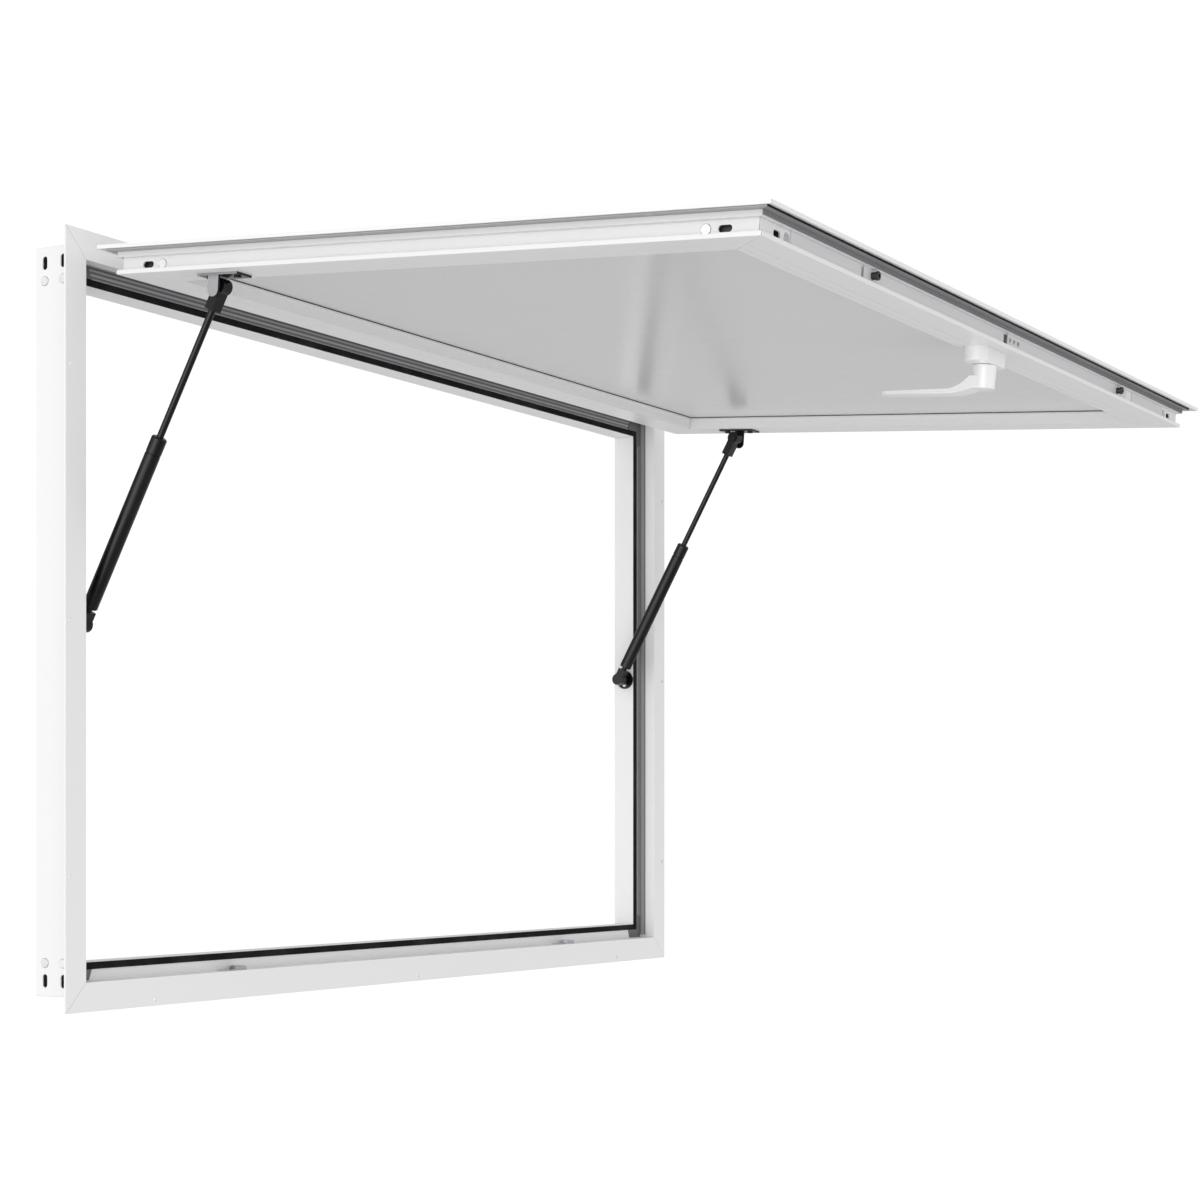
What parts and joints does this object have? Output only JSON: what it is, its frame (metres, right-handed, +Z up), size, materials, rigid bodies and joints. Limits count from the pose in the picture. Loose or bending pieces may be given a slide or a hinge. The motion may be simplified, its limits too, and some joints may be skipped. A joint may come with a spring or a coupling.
{
  "type": "awning serving window",
  "caption": "Rectangular top-hung serving window: flanged metal frame, opaque insulated sash held open by gas struts, lever handle driving sliding locking bars.",
  "frame": {"origin": "centre of the flange's screw pattern, on the back face of the flange, where the frame meets the wall", "axes": "+X to the right seen from outside, +Y into the wall and the room, +Z up; the sash opens towards -Y"},
  "size_m": [1.366, 0.9165, 0.872],
  "materials": {
    "frame_paint": "white powder coat, satin",
    "sash_paint": "white powder coat, satin",
    "panel_paint": "pale grey-white coil coat, satin",
    "foam": "rigid foam board",
    "rubber_black": "matt black rubber",
    "rubber_grey": "matt dark grey rubber",
    "rubber_pale": "matt mid grey rubber",
    "cast_dark": "dark die casting",
    "plastic_grey": "moulded dark grey",
    "mill_aluminium": "mill finish",
    "handle_white": "white powder coat, smooth",
    "black_steel": "black paint, satin",
    "zinc_steel": "bright zinc plate",
    "dark_steel": "dark burnished steel",
    "bar_finish": "pale satin anodised"
  },
  "bodies": {
    "frame": {"frame_sill": "frame_paint", "frame_head": "frame_paint", "frame_jamb_left": "frame_paint", "frame_jamb_right": "frame_paint", "frame_corner_keys": "cast_dark", "frame_corner_rivets": "mill_aluminium", "frame_gasket": "rubber_black", "gasket_corner_pads": "plastic_grey", "keeper_left": "zinc_steel", "keeper_right": "zinc_steel", "keeper_screws": "zinc_steel", "hinge_frame_leaf": "frame_paint", "hinge_frame_rivets": "mill_aluminium", "hinge_pin": "zinc_steel", "strut_foot_bracket_left": "black_steel", "strut_foot_bracket_right": "black_steel", "strut_foot_screws": "zinc_steel"},
    "sash": {"sash_lock_rail": "sash_paint", "sash_hinge_rail": "sash_paint", "sash_rail_left": "sash_paint", "sash_rail_right": "sash_paint", "sash_corner_keys": "cast_dark", "sash_corner_rivets": "mill_aluminium", "sash_outer_skin": "sash_paint", "sash_core": "foam", "sash_inner_panel": "panel_paint", "seal_strips": "rubber_pale", "seal_strip_lock": "rubber_grey", "panel_gasket": "rubber_black", "hinge_sash_leaf": "sash_paint", "hinge_sash_rivets": "mill_aluminium", "strut_sash_bracket_left": "black_steel", "strut_sash_bracket_right": "black_steel", "strut_sash_screws": "black_steel", "handle_base_plate": "zinc_steel", "handle_base_screws": "zinc_steel", "handle_cover": "handle_white", "channel_fillers": "bar_finish"},
    "handle": {"handle_lever": "handle_white", "handle_spindle": "zinc_steel", "lock_crank": "zinc_steel"},
    "locking_bar": {"locking_bar_left": "bar_finish", "locking_bar_right": "bar_finish", "locking_bar_screws": "zinc_steel", "locking_pins": "dark_steel", "lock_drive_block": "dark_steel"},
    "strut_rod_left": {"strut_rod_left": "black_steel", "strut_piston_left": "black_steel", "strut_socket_left": "black_steel"},
    "strut_tube_left": {"strut_tube_left": "black_steel", "strut_gland_left": "black_steel", "strut_foot_end_left": "black_steel"},
    "strut_rod_right": {"strut_rod_right": "black_steel", "strut_piston_right": "black_steel", "strut_socket_right": "black_steel"},
    "strut_tube_right": {"strut_tube_right": "black_steel", "strut_gland_right": "black_steel", "strut_foot_end_right": "black_steel"}
  },
  "joints": [
    {"name": "sash_hinge", "type": "hinge", "parent": "frame", "child": "sash", "pos_m": [0, -0.021, 0.4269], "axis": [1, 0, 0], "range_deg": [0, 85.84]},
    {"name": "handle_turn", "type": "hinge", "parent": "sash", "child": "handle", "pos_m": [0, -0.80743, 0.32709], "axis": [0, -0.0725, 0.9974], "range_deg": [0, 90]},
    {"name": "bar_slide", "type": "slide", "parent": "sash", "child": "locking_bar", "axis": [1, 0, 0], "range_m": [0, 0.018]},
    {"name": "strut_pivot_left", "type": "hinge", "parent": "sash", "child": "strut_rod_left", "pos_m": [-0.611, -0.16454, 0.36152], "axis": [1, 0, 0], "range_deg": [-114.6, 0]},
    {"name": "strut_stroke_left", "type": "slide", "parent": "strut_rod_left", "child": "strut_tube_left", "axis": [0, -0.4902, 0.8716], "range_m": [0, 0.1359]},
    {"name": "strut_pivot_right", "type": "hinge", "parent": "sash", "child": "strut_rod_right", "pos_m": [0.611, -0.16454, 0.36152], "axis": [1, 0, 0], "range_deg": [-114.6, 0]},
    {"name": "strut_stroke_right", "type": "slide", "parent": "strut_rod_right", "child": "strut_tube_right", "axis": [0, -0.4902, 0.8716], "range_m": [0, 0.1359]}
  ],
  "couplings": [
    {"joint": "bar_slide", "follows": "handle_turn", "m_per_rad": 0.011459},
    {"joint": "strut_pivot_left", "follows": "sash_hinge", "ratio": -1.3314},
    {"joint": "strut_stroke_left", "follows": "sash_hinge", "m_per_rad": 0.090492},
    {"joint": "strut_pivot_right", "follows": "sash_hinge", "ratio": -1.3314},
    {"joint": "strut_stroke_right", "follows": "sash_hinge", "m_per_rad": 0.090492}
  ]
}
